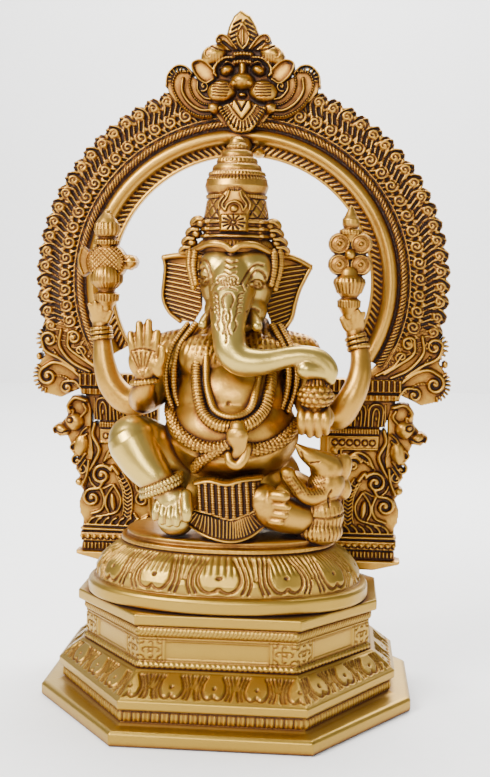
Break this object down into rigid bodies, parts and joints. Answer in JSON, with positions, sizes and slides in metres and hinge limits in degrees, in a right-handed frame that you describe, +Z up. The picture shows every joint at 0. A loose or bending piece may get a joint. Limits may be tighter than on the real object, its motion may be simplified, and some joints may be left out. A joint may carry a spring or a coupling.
{
  "type": "ganesha idol",
  "caption": "Cast brass seated elephant-headed deity on a lotus seat, in front of a scroll-work arch, on a hollow eight-sided stand.",
  "frame": {"origin": "middle of the box's underside, on the surface that the stand rests on", "axes": "+Z up, the front of the figure faces -Y, +X towards the deity's left hand"},
  "size_m": [0.21, 0.1656, 0.33],
  "materials": {
    "polished_brass": "hand-polished cast brass, satin",
    "antique_brass": "cast brass, dark patina in the recesses and rubbed high points",
    "stand_brass": "filed and buffed cast brass, satin",
    "zinc_steel": "zinc-plated steel fasteners"
  },
  "bodies": {
    "root": {"pedestal": "stand_brass", "lotus_seat": "stand_brass", "seat_plinth": "stand_brass", "torso": "polished_brass", "dhoti": "antique_brass", "right_leg": "polished_brass", "left_leg": "polished_brass", "head": "polished_brass", "trunk": "polished_brass", "tusks": "polished_brass", "right_ear": "antique_brass", "left_ear": "antique_brass", "crown": "antique_brass", "crown_stay": "antique_brass", "right_rear_arm": "polished_brass", "left_rear_arm": "polished_brass", "right_front_arm": "polished_brass", "left_front_arm": "polished_brass", "axe_emblem": "antique_brass", "lotus_emblem": "antique_brass", "sweet": "antique_brass", "necklace": "antique_brass", "snake_belt": "antique_brass", "mouse": "antique_brass", "arch_frame": "antique_brass", "right_beast": "antique_brass", "left_beast": "antique_brass", "kirtimukha_mask": "antique_brass", "seat_studs": "zinc_steel", "stud_washers": "zinc_steel", "stud_nuts": "zinc_steel", "arch_screws": "zinc_steel"}
  },
  "joints": []
}
